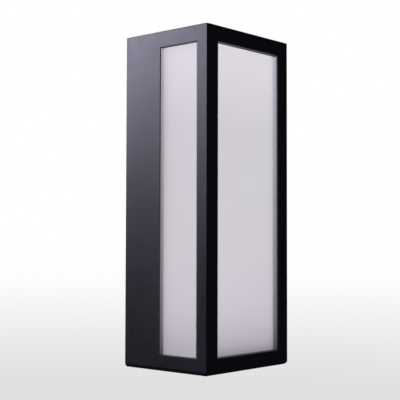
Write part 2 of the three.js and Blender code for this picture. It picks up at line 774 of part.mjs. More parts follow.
function makeWallPlate() {
  const flangeFront = plateFrontY - PLATE_FLANGE;
  const tabFront = plateFrontY - TAB_REACH;
  const w = PLATE_HALF_WIDTH;
  const tab = TAB_HALF_WIDTH;
  const sheet = PLATE_SHEET;
  const length = FLANGE_HALF_LENGTH;
  const parts = [
    block([-w, plateRearY, -PLATE_HALF_HEIGHT], [w, plateFrontY, PLATE_HALF_HEIGHT]),
    block([-tab, plateRearY, -tabZ], [tab, plateFrontY, tabZ]),
    ...sides.map(({ sign }) =>
      block([sign * w, plateRearY, -length], [sign * (w - sheet), flangeFront, length])),
    ...ends.map(({ sign }) =>
      block([-tab, plateRearY, sign * tabZ], [tab, tabFront, sign * (tabZ - sheet)])),
  ];
  const through = (radius, x, z) => rod("y", radius, plateRearY + 1, plateFrontY - 1, x, z, 24);
  const bore = M4_BUTTON.shank + HOLE_CLEARANCE;
  const captive = sides.map(({ sign }) =>
    rod("z", bore, -tabZ - 1, -tabZ + sheet + 1, sign * RETAINER_X, -RETAINER_DEPTH, 24));
  return cut(
    join(...parts),
    through(CABLE_HOLE, 0, CABLE_Z),
    through(GROUND_PAN.shank + HOLE_CLEARANCE, GROUND_PLATE_X, GROUND_PLATE_Z),
    ...ends.map(({ sign }) => through(WALL_SCREW_RADIUS, 0, sign * WALL_SCREW_Z)),
    ...boxScrewSlots(0, plateRearY + 1, plateFrontY - 1),
    ...captive,
  );
}

const WALL_GASKET_INSET = 1.5; // from the housing's inner faces
const WALL_GASKET_CORNER = 4;
const WALL_GASKET_MARGIN = 2; // how much larger its holes are than the plate's

function makeWallGasket() {
  const x = innerX - WALL_GASKET_INSET;
  const z = innerZ - WALL_GASKET_INSET;
  const corners = Array(4).fill(WALL_GASKET_CORNER);
  const through = (radius, px, pz) => rod("y", radius, 1, -WALL_GASKET - 1, px, pz, 24);
  return cut(
    thicken(roundedOutline(-x, -z, x, z, corners), "xz", -WALL_GASKET, 0),
    through(CABLE_HOLE + 2 * WALL_GASKET_MARGIN, 0, CABLE_Z),
    ...ends.map(({ sign }) => through(WALL_SCREW_RADIUS + WALL_GASKET_MARGIN, 0, sign * WALL_SCREW_Z)),
    ...boxScrewSlots(WALL_GASKET_MARGIN, 1, -WALL_GASKET - 1),
  );
}

addPiece(wallFixing, "wall_plate", makeWallPlate(), finishes.zinc);
addPiece(wallFixing, "wall_gasket", makeWallGasket(), finishes.spongeRubber);

const cableGrommet = addPiece(
  wallFixing,
  "cable_grommet",
  makeGrommet({ hole: CABLE_HOLE, sheet: PLATE_SHEET, bore: 10, flange: 19, flangeDepth: 1.6 }),
  finishes.rubber,
);
cableGrommet.position.set(0, (plateRearY + plateFrontY) / 2, CABLE_Z);

addFrontFacingScrew(
  wallFixing,
  "plate_ground_screw",
  panScrew(GROUND_PAN),
  GROUND_PLATE_X,
  plateFrontY - GAP,
  GROUND_PLATE_Z,
  finishes.greenZinc,
);

// ---------------------------------------------------------------- captive screws under the lantern

const NUT_RADIUS = 4.04; // across corners / 2 of a 7 mm nut
const NUT_HEIGHT = 3.2;
const WASHER_RADIUS = 4.5;
const WASHER_THICKNESS = 0.8;

for (const { label, sign } of sides) {
  const x = sign * RETAINER_X;
  const bore = M4_BUTTON.shank + HOLE_CLEARANCE;
  const nutLow = -tabZ + PLATE_SHEET + GAP;
  const nut = cut(
    rod("z", NUT_RADIUS, nutLow, nutLow + NUT_HEIGHT, x, -RETAINER_DEPTH, 6),
    rod("z", bore, nutLow - 1, nutLow + NUT_HEIGHT + 1, x, -RETAINER_DEPTH, 24),
  );
  addPiece(wallFixing, `captive_nut_${label}`, nut, finishes.zinc);

  const washerTop = -halfHeight - GAP;
  const washer = cut(
    rod("z", WASHER_RADIUS, washerTop - WASHER_THICKNESS, washerTop, x, -RETAINER_DEPTH, 28),
    rod("z", bore, washerTop - 2, washerTop + 1, x, -RETAINER_DEPTH, 24),
  );
  addPiece(wallFixing, `retaining_washer_${label}`, washer, finishes.stainless);

  const screw = addPiece(
    wallFixing, `retaining_screw_${label}`, buttonScrew(M4_BUTTON), finishes.stainless);
  screw.position.set(x, -RETAINER_DEPTH, washerTop - WASHER_THICKNESS - GAP);
  screw.rotation.x = -Math.PI / 2;
}

// ---------------------------------------------------------------- the whole lantern

const wallLantern = new THREE.Group();
wallLantern.add(wallFixing, lantern);

export default wallLantern;
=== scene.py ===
"""A black box wall lantern with opal windows: the looks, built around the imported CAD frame.

Metres, +Z up, the wall is the plane y = 0 and the lantern stands out of it along -Y.
"""

import json
import math

import bmesh
import bpy
from mathutils import Matrix, Vector

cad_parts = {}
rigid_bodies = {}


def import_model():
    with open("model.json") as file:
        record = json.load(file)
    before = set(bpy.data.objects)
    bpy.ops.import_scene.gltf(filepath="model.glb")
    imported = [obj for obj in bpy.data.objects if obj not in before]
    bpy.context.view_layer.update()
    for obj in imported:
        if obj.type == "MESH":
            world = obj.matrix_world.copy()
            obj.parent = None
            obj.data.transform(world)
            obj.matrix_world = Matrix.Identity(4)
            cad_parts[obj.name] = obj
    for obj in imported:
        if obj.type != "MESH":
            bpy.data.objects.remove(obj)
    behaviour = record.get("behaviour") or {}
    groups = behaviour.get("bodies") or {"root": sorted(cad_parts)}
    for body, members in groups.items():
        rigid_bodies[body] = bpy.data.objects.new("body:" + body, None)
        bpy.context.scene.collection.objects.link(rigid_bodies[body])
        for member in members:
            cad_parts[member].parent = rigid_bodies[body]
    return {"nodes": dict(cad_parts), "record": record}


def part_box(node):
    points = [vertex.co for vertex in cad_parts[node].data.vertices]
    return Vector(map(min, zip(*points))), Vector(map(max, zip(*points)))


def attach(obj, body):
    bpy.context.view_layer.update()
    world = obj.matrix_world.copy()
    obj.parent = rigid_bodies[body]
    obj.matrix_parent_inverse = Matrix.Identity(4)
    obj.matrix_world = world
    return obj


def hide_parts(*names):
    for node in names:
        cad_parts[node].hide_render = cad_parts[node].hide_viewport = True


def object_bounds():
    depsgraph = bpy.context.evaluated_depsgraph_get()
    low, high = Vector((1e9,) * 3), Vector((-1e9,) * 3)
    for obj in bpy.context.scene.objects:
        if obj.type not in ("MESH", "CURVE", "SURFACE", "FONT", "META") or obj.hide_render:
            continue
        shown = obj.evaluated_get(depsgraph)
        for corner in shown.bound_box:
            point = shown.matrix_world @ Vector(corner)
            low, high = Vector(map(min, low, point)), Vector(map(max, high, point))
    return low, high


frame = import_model()
cad_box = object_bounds()
nodes = frame["nodes"]
record = frame["record"]
slot_of = {row["node"]: row["material_slot"] for row in record["subparts"]}
body_of = {node: body for body, names in record["behaviour"]["bodies"].items() for node in names}

MM = 0.001
housing_low, housing_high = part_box("housing")
HEIGHT = housing_high.z - housing_low.z
BAR = 14.5 * MM  # of the housing above and below its windows
FRONT_POST = 15 * MM
SIDE_POST = 11.6 * MM
REAR_STRIP = 43.8 * MM
REAR_CLEARANCE = 0.5 * MM  # from the housing's rear rim to the wall
BOARD_X = 21 * MM  # centre of each light-emitting board from the middle
BOARD_SPAN = 216 * MM  # between the first and the last package on a board
PACKAGES = 12
LED_PITCH = BOARD_SPAN / (PACKAGES - 1)
scene = bpy.context.scene


# ---------------------------------------------------------------- camera

def add_camera():
    """The photograph's viewpoint: in front and to the left, a little below the middle."""
    azimuth = math.radians(-48.77)
    elevation = math.radians(-2.417)
    roll = math.radians(0.1385)
    distance = 3.0497 * HEIGHT
    across = 0.0995 * HEIGHT
    above = 0.0103 * HEIGHT
    focal = 2.391  # in picture widths
    back = Vector((
        math.sin(azimuth) * math.cos(elevation),
        -math.cos(azimuth) * math.cos(elevation),
        math.sin(elevation),
    ))
    level = Vector((math.cos(azimuth), math.sin(azimuth), 0))
    upward = back.cross(level)
    right = level * math.cos(roll) + upward * math.sin(roll)
    up = upward * math.cos(roll) - level * math.sin(roll)
    data = bpy.data.cameras.new("camera")
    data.sensor_width = 36
    data.lens = focal * data.sensor_width
    data.clip_start = 0.01
    data.clip_end = 100
    camera = bpy.data.objects.new("camera", data)
    at = back * distance + right * across + up * above
    turned = Matrix((right, up, back)).transposed().to_4x4()
    camera.matrix_world = Matrix.Translation(at) @ turned
    scene.collection.objects.link(camera)
    scene.camera = camera


add_camera()


# ---------------------------------------------------------------- shader helpers

class Shader:
    """A node material with one Principled shader, and short calls for what feeds it."""

    def __init__(self, name):
        self.material = bpy.data.materials.new(name)
        self.material.use_nodes = True
        self.tree = self.material.node_tree
        self.principled = self.tree.nodes["Principled BSDF"]
        self.coordinates = self.add("ShaderNodeTexCoord").outputs["Object"]

    def add(self, kind, **settings):
        node = self.tree.nodes.new(kind)
        for key, value in settings.items():
            setattr(node, key, value)
        return node

    def feed(self, socket, value):
        """Links a socket to another, or gives it a constant."""
        if isinstance(value, bpy.types.NodeSocket):
            self.tree.links.new(value, socket)
        else:
            socket.default_value = value

    def set(self, **values):
        """Constants on the Principled shader's own sockets, with spaces written as underscores."""
        for key, value in values.items():
            self.principled.inputs[key.replace("_", " ")].default_value = value

    def link(self, socket_name, value):
        self.tree.links.new(value, self.principled.inputs[socket_name])

    def noise(self, scale, detail, roughness, stretch=(1, 1, 1)):
        mapping = self.add("ShaderNodeMapping")
        mapping.inputs["Scale"].default_value = stretch
        self.feed(mapping.inputs["Vector"], self.coordinates)
        node = self.add("ShaderNodeTexNoise")
        self.feed(node.inputs["Vector"], mapping.outputs["Vector"])
        node.inputs["Scale"].default_value = scale
        node.inputs["Detail"].default_value = detail
        node.inputs["Roughness"].default_value = roughness
        return node.outputs["Fac"]

    def cells(self, scale):
        """The distance to the nearest of many scattered points."""
        node = self.add("ShaderNodeTexVoronoi")
        self.feed(node.inputs["Vector"], self.coordinates)
        node.inputs["Scale"].default_value = scale
        return node.outputs["Distance"]

    def span(self, value, from_low, from_high, to_low, to_high):
        """Maps one range onto another, held at its ends."""
        node = self.add("ShaderNodeMapRange", clamp=True)
        self.feed(node.inputs["Value"], value)
        node.inputs["From Min"].default_value = from_low
        node.inputs["From Max"].default_value = from_high
        node.inputs["To Min"].default_value = to_low
        node.inputs["To Max"].default_value = to_high
        return node.outputs["Result"]

    def math(self, operation, a, b=0.0):
        node = self.add("ShaderNodeMath", operation=operation)
        self.feed(node.inputs[0], a)
        self.feed(node.inputs[1], b)
        return node.outputs[0]

    def axis(self, name):
        """One of the object's own coordinates: X, Y or Z, in metres."""
        node = self.add("ShaderNodeSeparateXYZ")
        self.feed(node.inputs[0], self.coordinates)
        return node.outputs[name]

    def mix(self, factor, a, b):
        """Mixes two colours, each a socket or an RGB triple."""
        node = self.add("ShaderNodeMix", data_type="RGBA")
        self.feed(node.inputs[0], factor)
        for socket, value in ((node.inputs[6], a), (node.inputs[7], b)):
            self.feed(socket, (*value, 1.0) if isinstance(value, tuple) else value)
        return node.outputs[2]

    def drift(self, noise, low, high):
        """A colour that wanders between two as a noise does."""
        return self.mix(self.span(noise, 0.3, 0.7, 0, 1), low, high)

    def edge_fade(self, distance, depth, reach, shape=1.0):
        """1 far from an edge and 1 - depth on it; a larger shape ends the run-out sooner."""
        ratio = self.math("DIVIDE", self.math("MAXIMUM", distance, 0.0), reach)
        decay = self.math("EXPONENT", self.math("MULTIPLY", self.math("POWER", ratio, shape), -1.0))
        return self.math("SUBTRACT", 1.0, self.math("MULTIPLY", decay, depth))

    def scaled(self, colour, factor):
        """A colour made darker or brighter by a factor."""
        node = self.add("ShaderNodeVectorMath", operation="SCALE")
        self.feed(node.inputs[0], colour)
        self.feed(node.inputs["Scale"], factor)
        return node.outputs[0]

    def bump(self, height, strength, distance, under=None):
        """A relief from a height, laid over another relief if one is given."""
        node = self.add("ShaderNodeBump")
        node.inputs["Strength"].default_value = strength
        node.inputs["Distance"].default_value = distance
        self.feed(node.inputs["Height"], height)
        if under is not None:
            self.feed(node.inputs["Normal"], under)
        return node.outputs["Normal"]


# ---------------------------------------------------------------- materials

def black_coat():
    """Satin black powder coat: orange peel, a faint blotchy haze, specks, and a dusty, duller top."""
    s = Shader("black_coat")
    cloud = s.noise(14, 3, 0.6)
    blotch = s.noise(170, 4, 0.7)
    speck = s.span(s.noise(520, 2, 0.5), 0.70, 0.78, 0.0, 0.6)
    base = s.drift(cloud, (0.0017, 0.0015, 0.0027), (0.0024, 0.0021, 0.0038))
    s.link("Base Color", s.mix(speck, base, (0.012, 0.0115, 0.013)))
    peel = s.noise(650, 2, 0.45)
    grain = s.noise(2600, 2, 0.5)
    haze = s.math("ADD", s.math("MULTIPLY", cloud, 0.5), blotch)
    below_top = s.math("SUBTRACT", housing_high.z, s.axis("Z"))
    settled = s.span(below_top, 0.1 * MM, 0.3 * MM, 0.4, 0.0)
    s.link("Roughness", s.math("ADD", s.span(haze, 0.5, 1.0, 0.395, 0.485), settled))
    s.link("Normal", s.bump(grain, 0.12, 0.03 * MM, s.bump(peel, 0.26, 0.09 * MM)))
    s.set(Specular_IOR_Level=0.62)
    return s.material


def opal_acrylic():
    """Opal acrylic sheet with a satin face. Its shading is painted: darker near the front panel's side
    edges, the side panels' rear edges and the bottom, darker over the whole side panels, and brighter
    high up.
    """
    s = Shader("opal_acrylic")
    across, along, up = (s.axis(name) for name in "XYZ")
    half_width = (housing_high.x - housing_low.x) / 2 - FRONT_POST
    side_front = housing_low.y + SIDE_POST
    side_rear = housing_high.y + REAR_CLEARANCE - REAR_STRIP
    top = HEIGHT / 2 - BAR
    on_front = s.math("LESS_THAN", along, side_front - 3 * MM)
    front_gap = s.math("SUBTRACT", half_width, s.math("ABSOLUTE", across))
    side_gap = s.math("SUBTRACT", side_rear, along)
    beneath = s.math("SUBTRACT", top, up)
    above = s.math("ADD", top, up)
    on_side = s.math("SUBTRACT", 1.0, on_front)
    # Painted shade: the front panel darkens towards its side edges, the side panels towards their rear
    # edges.
    light = s.math("ADD",
                   s.math("MULTIPLY", on_front, s.edge_fade(front_gap, 0.38, 2.8 * MM)),
                   s.math("MULTIPLY", on_side, s.edge_fade(side_gap, 0.28, 3.2 * MM)))
    # Painted shade: the side panels are a darker copy of the front panel's colour.
    light = s.math("MULTIPLY", light, s.span(on_side, 0, 1, 1.0, 0.87))
    # Painted shade: darker over the lowest few centimetres.
    light = s.math("MULTIPLY", light, s.edge_fade(above, 0.26, 32 * MM, 1.5))
    # Painted shade: darker still right at the bottom edge, mostly on the front panel.
    foot = s.span(on_side, 0, 1, 0.45, 0.06)
    light = s.math("MULTIPLY", light, s.edge_fade(above, foot, 6.5 * MM))
    # Painted light: brighter towards the top.
    light = s.math("MULTIPLY", light, s.span(beneath, 15 * MM, 75 * MM, 1.15, 1.0))
    cloud = s.noise(9, 2, 0.5)
    base = s.drift(cloud, (0.696, 0.676, 0.694), (0.716, 0.700, 0.716))
    # A slightly different tint, mixed in over the lowest 90 mm.
    base = s.mix(s.span(above, 0, 90 * MM, 1.0, 0.0), base, (0.704, 0.660, 0.712))
    s.link("Base Color", s.scaled(base, light))
    s.link("Roughness", s.span(s.noise(40, 2, 0.5), 0.3, 0.7, 0.52, 0.60))
    s.link("Normal", s.bump(s.noise(55, 1, 0.4), 0.05, 0.2 * MM))
    s.set(Specular_IOR_Level=0.25)
    return s.material


def grey_silicone():
    """Silicone rim, pale grey, with painted shade: darker towards the outside and towards the bottom,
    and nearly black on the underside of the top member.
    """
    s = Shader("grey_silicone")
    cloud = s.noise(60, 3, 0.55)
    unshaded = s.drift(cloud, (0.340, 0.327, 0.350), (0.366, 0.355, 0.380))
    on_front = s.math("LESS_THAN", s.axis("Y"), housing_low.y + 6.1 * MM)
    front_depth = s.math("SUBTRACT", s.axis("Y"), housing_low.y)
    side_depth = s.math("SUBTRACT", housing_high.x, s.math("ABSOLUTE", s.axis("X")))
    depth = s.math("ADD", s.math("MULTIPLY", on_front, front_depth),
                   s.math("MULTIPLY", s.math("SUBTRACT", 1.0, on_front), side_depth))
    # Painted shade: darker towards the bottom and towards the outer edge of each rim.
    by_height = s.span(s.axis("Z"), -140 * MM, 140 * MM, 0.34, 1.0)
    by_depth = s.span(depth, 1.2 * MM, 6 * MM, 0.72, 1.22)
    painted_shade = s.math("MULTIPLY", by_height, by_depth)
    above = s.math("ADD", s.axis("Z"), HEIGHT / 2 - BAR)
    # Painted shade: darker over the lowest 14 mm.
    painted_shade = s.math("MULTIPLY", painted_shade, s.edge_fade(above, 0.55, 14 * MM))
    beneath = s.math("SUBTRACT", HEIGHT / 2 - BAR, s.axis("Z"))
    # Painted shadow: the underside of the top member is nearly black.
    painted_shade = s.math("MULTIPLY", painted_shade, s.span(beneath, 0.1 * MM, 0.9 * MM, 0.04, 1.0))
    # The rim's colour with the painted shade laid over it.
    s.link("Base Color", s.scaled(unshaded, painted_shade))
    grain = s.noise(1500, 2, 0.5)
    s.link("Roughness", s.span(grain, 0.3, 0.7, 0.55, 0.65))
    s.link("Normal", s.bump(grain, 0.3, 0.04 * MM))
    return s.material


def sponge_rubber():
    """Black closed-cell sponge rubber: a dull skin pitted with small pores."""
    s = Shader("sponge_rubber")
    cloud = s.noise(45, 3, 0.6)
    pore = s.span(s.cells(900), 0.0, 0.42, 0.0, 1.0)
    skin = s.drift(cloud, (0.024, 0.024, 0.025), (0.038, 0.038, 0.040))
    # Painted shade: the pores are darker than the skin around them.
    s.link("Base Color", s.mix(pore, (0.010, 0.010, 0.011), skin))
    s.link("Roughness", s.span(cloud, 0.3, 0.7, 0.82, 0.94))
    s.link("Normal", s.bump(s.noise(260, 3, 0.6), 0.35, 0.3 * MM, s.bump(pore, 0.6, 0.25 * MM)))
    s.set(Specular_IOR_Level=0.3)
    return s.material


def plain_polymer(name, low, high, roughness, grain_scale, grain_depth):
    """A moulded or cut polymer with a fine surface grain."""
    def make():
        s = Shader(name)
        cloud = s.noise(60, 3, 0.55)
        s.link("Base Color", s.drift(cloud, low, high))
        grain = s.noise(grain_scale, 2, 0.5)
        s.link("Roughness", s.span(grain, 0.3, 0.7, roughness - 0.05, roughness + 0.05))
        s.link("Normal", s.bump(grain, 0.3, grain_depth))
        return s.material
    return make


def insulation(name, low, high):
    """The smooth sleeve of a wire."""
    return plain_polymer(name, low, high, 0.38, 1800, 0.02 * MM)


def white_coat():
    """White powder coat on the tray."""
    s = Shader("white_coat")
    cloud = s.noise(20, 3, 0.6)
    s.link("Base Color", s.drift(cloud, (0.78, 0.78, 0.76), (0.84, 0.84, 0.82)))
    peel = s.noise(700, 2, 0.45)
    s.link("Roughness", s.span(cloud, 0.3, 0.7, 0.38, 0.46))
    s.link("Normal", s.bump(peel, 0.2, 0.08 * MM))
    return s.material


def zinc_steel():
    """Zinc-coated sheet: a cold, partly dull metal with a faint spangle and rolling marks."""
    s = Shader("zinc_steel")
    spangle = s.cells(160)
    cloud = s.noise(35, 4, 0.6)
    base = s.drift(cloud, (0.50, 0.53, 0.56), (0.62, 0.64, 0.65))
    s.link("Base Color", s.mix(s.span(spangle, 0.1, 0.9, 0, 0.35), base, (0.70, 0.72, 0.74)))
    rolled = s.noise(90, 3, 0.6, stretch=(14, 14, 0.6))
    s.link("Roughness", s.span(s.math("ADD", cloud, rolled), 0.7, 1.3, 0.36, 0.50))
    s.link("Normal", s.bump(rolled, 0.1, 0.03 * MM))
    s.set(Metallic=0.6)
    return s.material


def turned_steel():
    """Stainless steel of the retaining screws and washers."""
    s = Shader("stainless")
    cloud = s.noise(300, 3, 0.6)
    s.link("Base Color", s.drift(cloud, (0.56, 0.56, 0.57), (0.68, 0.68, 0.68)))
    ring = s.noise(4000, 2, 0.5, stretch=(0.2, 0.2, 1))
    s.link("Roughness", s.span(ring, 0.3, 0.7, 0.22, 0.34))
    s.link("Normal", s.bump(ring, 0.1, 0.02 * MM))
    s.set(Metallic=1.0)
    return s.material


def green_zinc():
    """Green dyed zinc plate of the ground screws."""
    s = Shader("green_zinc")
    cloud = s.noise(400, 3, 0.6)
    s.link("Base Color", s.drift(cloud, (0.03, 0.20, 0.06), (0.06, 0.31, 0.10)))
    s.link("Roughness", s.span(cloud, 0.3, 0.7, 0.28, 0.4))
    s.link("Normal", s.bump(s.noise(2500, 2, 0.5), 0.1, 0.02 * MM))
    s.set(Metallic=0.9)
    return s.material


def circuit_board():
    """White solder mask over copper: yellow phosphor in each package, tinned pads beside it."""
    s = Shader("circuit_board")
    cloud = s.noise(80, 3, 0.6)
    mask = s.drift(cloud, (0.80, 0.81, 0.79), (0.87, 0.88, 0.86))
    beside = s.math("SUBTRACT", s.math("ABSOLUTE", s.axis("X")), BOARD_X)
    along = s.math("SUBTRACT", s.math("FLOORED_MODULO", s.axis("Z"), LED_PITCH), LED_PITCH / 2)
    off = s.math("ABSOLUTE", beside)
    squares = s.math("ADD", s.math("MULTIPLY", beside, beside), s.math("MULTIPLY", along, along))
    reach = s.math("SQRT", squares)
    copper = s.span(off, 4.4 * MM, 4.6 * MM, 1.0, 0.0)
    mask = s.mix(s.math("MULTIPLY", copper, 0.5), mask, (0.74, 0.76, 0.70))
    pad = s.math("MULTIPLY", s.span(off, 1.7 * MM, 1.8 * MM, 0, 1),
                 s.span(off, 2.6 * MM, 2.7 * MM, 1, 0))
    pad = s.math("MULTIPLY", pad, s.span(s.math("ABSOLUTE", along), 1.1 * MM, 1.2 * MM, 1, 0))
    tinned = s.mix(pad, mask, (0.52, 0.53, 0.54))
    phosphor = s.span(reach, 1.25 * MM, 1.32 * MM, 1.0, 0.0)
    s.link("Base Color", s.mix(phosphor, tinned, (0.78, 0.56, 0.07)))
    s.link("Roughness", s.span(cloud, 0.3, 0.7, 0.3, 0.4))
    s.link("Normal", s.bump(s.noise(1800, 2, 0.5), 0.15, 0.03 * MM))
    return s.material


makers = {
    "black_coat": black_coat,
    "opal_acrylic": opal_acrylic,
    "grey_silicone": grey_silicone,
    "white_plastic": plain_polymer(
        "white_plastic", (0.76, 0.76, 0.74), (0.82, 0.82, 0.80), 0.45, 1200, 0.05 * MM),
    "white_coat": white_coat,
    "zinc_steel": zinc_steel,
    "stainless": turned_steel,
    "green_zinc": green_zinc,
    "circuit_board": circuit_board,
    "sponge_rubber": sponge_rubber,
    "black_rubber": plain_polymer(
        "black_rubber", (0.013, 0.013, 0.014), (0.022, 0.022, 0.023), 0.62, 1600, 0.05 * MM),
    "wire_black": insulation("wire_black", (0.009, 0.009, 0.009), (0.015, 0.015, 0.015)),
    "wire_white": insulation("wire_white", (0.72, 0.72, 0.69), (0.79, 0.79, 0.76)),
    "wire_green": insulation("wire_green", (0.024, 0.22, 0.045), (0.036, 0.28, 0.06)),
    "wire_red": insulation("wire_red", (0.42, 0.018, 0.013), (0.50, 0.026, 0.018)),
}
materials = {name: make() for name, make in makers.items()}


# ---------------------------------------------------------------- pieces made finer than the CAD

GASKET_PRESS = 0.29 * MM  # closes nearly all of the gap that the CAD leaves at each panel
SAME_PLACE = 0.001 * MM
SAME_PLANE = math.radians(0.6)
SHARP = math.radians(35)


def press(bm, axis):
    """Moves a gasket's inner face onto its panel, along X at the sides and along Y in front."""
    low = min(vertex.co[axis] for vertex in bm.verts)
    high = max(vertex.co[axis] for vertex in bm.verts)
    inner = low if axis == 0 and low > 0 else high
    for vertex in bm.verts:
        if abs(vertex.co[axis] - inner) < 10 * SAME_PLACE:
            vertex.co[axis] += math.copysign(GASKET_PRESS, inner - (low + high) / 2)


def add_piece(mesh, slot, body):
    """A piece with its mesh's name, on a body and with a slot's finish."""
    piece = bpy.data.objects.new(mesh.name, mesh)
    scene.collection.objects.link(piece)
    mesh.materials.append(materials[slot])
    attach(piece, body)
    return piece


def stand_in(mesh, node):
    """A piece that replaces a CAD node, on its body and with its finish."""
    piece = add_piece(mesh, slot_of[node], body_of[node])
    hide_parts(node)
    return piece


def refine(node, edge, press_axis=None):
    """A copy of a CAD node with its facets merged and its sharp edges rounded by edge metres."""
    bm = bmesh.new()
    bm.from_mesh(nodes[node].data)
    bmesh.ops.remove_doubles(bm, verts=bm.verts, dist=SAME_PLACE)
    bmesh.ops.dissolve_limit(
        bm, angle_limit=SAME_PLANE, verts=bm.verts, edges=bm.edges, delimit=set())
    if press_axis is not None:
        press(bm, press_axis)
    bm.verts.index_update()
    mesh = bpy.data.meshes.new(node + "_fine")  # a fresh one, without the CAD's own normals
    mesh.from_pydata(
        [vertex.co for vertex in bm.verts], [],
        [[vertex.index for vertex in face.verts] for face in bm.faces])
    bm.free()
    mesh.shade_smooth()
    bevel = stand_in(mesh, node).modifiers.new("rounded_edges", "BEVEL")
    bevel.width = edge
    bevel.segments = 3
    bevel.limit_method = "ANGLE"
    bevel.angle_limit = SHARP
    bevel.use_clamp_overlap = True
    bevel.harden_normals = True


for name, obj in nodes.items():
    obj.data.materials.clear()
    obj.data.materials.append(materials[slot_of[name]])

refine("housing", 0.15 * MM)
for panel in ("front_diffuser", "left_diffuser", "right_diffuser"):
    refine(panel, 0.3 * MM)
for gasket, axis in (("front_gasket", 1), ("left_gasket", 0), ("right_gasket", 0)):
    refine(gasket, 0.15 * MM, press_axis=axis)
refine("diffuser_cage", 0.4 * MM)
refine("led_tray", 0.5 * MM)
refine("wall_plate", 0.6 * MM)
refine("wall_gasket", 0.15 * MM)


# ---------------------------------------------------------------- turned pieces

def rounded(profile, radius, steps=4):
    """A (radius, height) profile with its inner corners turned into short curves."""
    points = [Vector(point) for point in profile]
    result = [points[0]]
    for before, corner, after in zip(points, points[1:], points[2:]):
        back, on = before - corner, after - corner
        cut = min(radius, 0.45 * back.length, 0.45 * on.length)
        start, end = corner + back.normalized() * cut, corner + on.normalized() * cut
        for i in range(steps + 1):
            t = i / steps
            result.append(start * (1 - t) ** 2 + corner * 2 * t * (1 - t) + end * t ** 2)
    result.append(points[-1])
    return result


def skin(name, rings, closed=False):
    """A smooth mesh over rings of points. Its ends are capped, or joined if it is closed."""
    count = len(rings[0])
    points = [point for ring in rings for point in ring]
    faces = []
    pairs = list(zip(range(len(rings)), range(1, len(rings))))
    if closed:
        pairs.append((len(rings) - 1, 0))
    for low, high in pairs:
        for i in range(count):
            j = (i + 1) % count
            faces.append((low * count + i, low * count + j, high * count + j, high * count + i))
    if not closed:
        faces.append(tuple(reversed(range(count))))
        faces.append(tuple(range((len(rings) - 1) * count, len(rings) * count)))
    mesh = bpy.data.meshes.new(name)
    mesh.from_pydata(points, [], faces)
    bm = bmesh.new()
    bm.from_mesh(mesh)
    bmesh.ops.recalc_face_normals(bm, faces=bm.faces)
    for face in bm.faces:
        face.smooth = True
    bm.to_mesh(mesh)
    bm.free()
    return mesh


def lathe_rings(profile, sides=48):
    """Rings about +Y for a (radius, height) profile."""
    angles = [2 * math.pi * i / sides for i in range(sides)]
    return [[Vector((r * math.cos(a), h, r * math.sin(a))) for a in angles] for r, h in profile]


def cross_recess(x, z, head):
    """How much of the full depth a cross recess has at a place on a screw's head."""
    arm, blade, wall, slope = 0.55 * head, 0.13 * head, 0.154 * head, 2.2
    depth = 0.0
    for along, beside in ((abs(x), abs(z)), (abs(z), abs(x))):
        depth = max(depth, min(arm - along, (blade - beside) * slope) / wall)
    return min(depth, 1.0)


def socket_recess(x, z, head):
    """The same for a hexagon socket."""
    across = 0.37 * head
    reach = max(abs(x * math.cos(turn) + z * math.sin(turn))
                for turn in (math.pi / 6, math.pi / 2, 5 * math.pi / 6))
    return min(max((across - reach) / (0.03 * head), 0.0), 1.0)


def screw_mesh(name, head, crown, shank, length, pitch, recess, depth, rim=0.45):
    """A screw with a rolled thread. Its head stands on y = 0 and its shank runs down -Y."""
    sides, rows_per_turn, crown_rings = 48, 8, 26
    angles = [2 * math.pi * i / sides for i in range(sides)]
    groove = 0.56 * pitch
    tip = 0.5 * pitch
    threaded = length - tip - 0.3 * pitch
    rings = lathe_rings([(0.35 * shank, -length), (shank - groove, -length + tip)], sides)
    rows = max(int(threaded / pitch * rows_per_turn), 2)
    for row in range(rows + 1):
        h = -length + tip + threaded * row / rows
        fade = min(1.0, 6 * row / rows, 6 * (rows - row) / rows)
        ring = []
        for angle in angles:
            phase = (h / pitch - angle / (2 * math.pi)) % 1
            ridge = min(1.0, 1.6 * (1 - abs(2 * phase - 1)))
            radius = shank - groove * (1 - ridge * fade)
            ring.append(Vector((radius * math.cos(angle), h, radius * math.sin(angle))))
        rings.append(ring)
    flat = 0.62 * head  # radius of the head's flat top
    outline = rounded(
        [(shank - groove, -0.1 * pitch), (shank - groove, 0), (head, 0), (head, rim * crown),
         (flat, crown)], 0.12 * head)
    rings += lathe_rings(outline, sides)
    for i in range(1, crown_rings + 1):
        radius = flat * (1 - i / (crown_rings + 1))
        ring = []
        for angle in angles:
            x, z = radius * math.cos(angle), radius * math.sin(angle)
            ring.append(Vector((x, crown - depth * recess(x, z, head), z)))
        rings.append(ring)
    return skin(name, rings)


def place(mesh, turn, at):
    """Moves a mesh made about +Y to its place, so that its object stays at the origin."""
    mesh.transform(Matrix.Translation(at) @ turn)


FACING_WALL = Matrix.Identity(4)
FACING_FRONT = Matrix.Rotation(math.pi, 4, "Z")
FACING_DOWN = Matrix.Rotation(-math.pi / 2, 4, "X")


def middle(node):
    low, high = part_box(node)
    return (low + high) / 2


THREAD_OF_HEAD = {3.8: 1.9, 3.7: 1.75, 2.7: 1.3, 4.0: 1.6}  # radii in mm


def add_screw(node, turn, crown, pitch, recess=cross_recess, rim=0.45):
    """Puts a detailed screw in the box of a CAD one: its head, length and shank are the same."""
    low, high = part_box(node)
    at = middle(node)
    head = (high.x - low.x) / 2
    if turn is FACING_DOWN:
        whole = high.z - low.z
        at.z = low.z + crown
    else:
        whole = high.y - low.y
        at.y = high.y - crown if turn is FACING_WALL else low.y + crown
    shank = THREAD_OF_HEAD[round(head / MM, 1)] * MM
    mesh = screw_mesh(node + "_turned", head, crown, shank, whole - crown, pitch, recess,
                      0.62 * crown, rim)
    place(mesh, turn, at)
    stand_in(mesh, node)


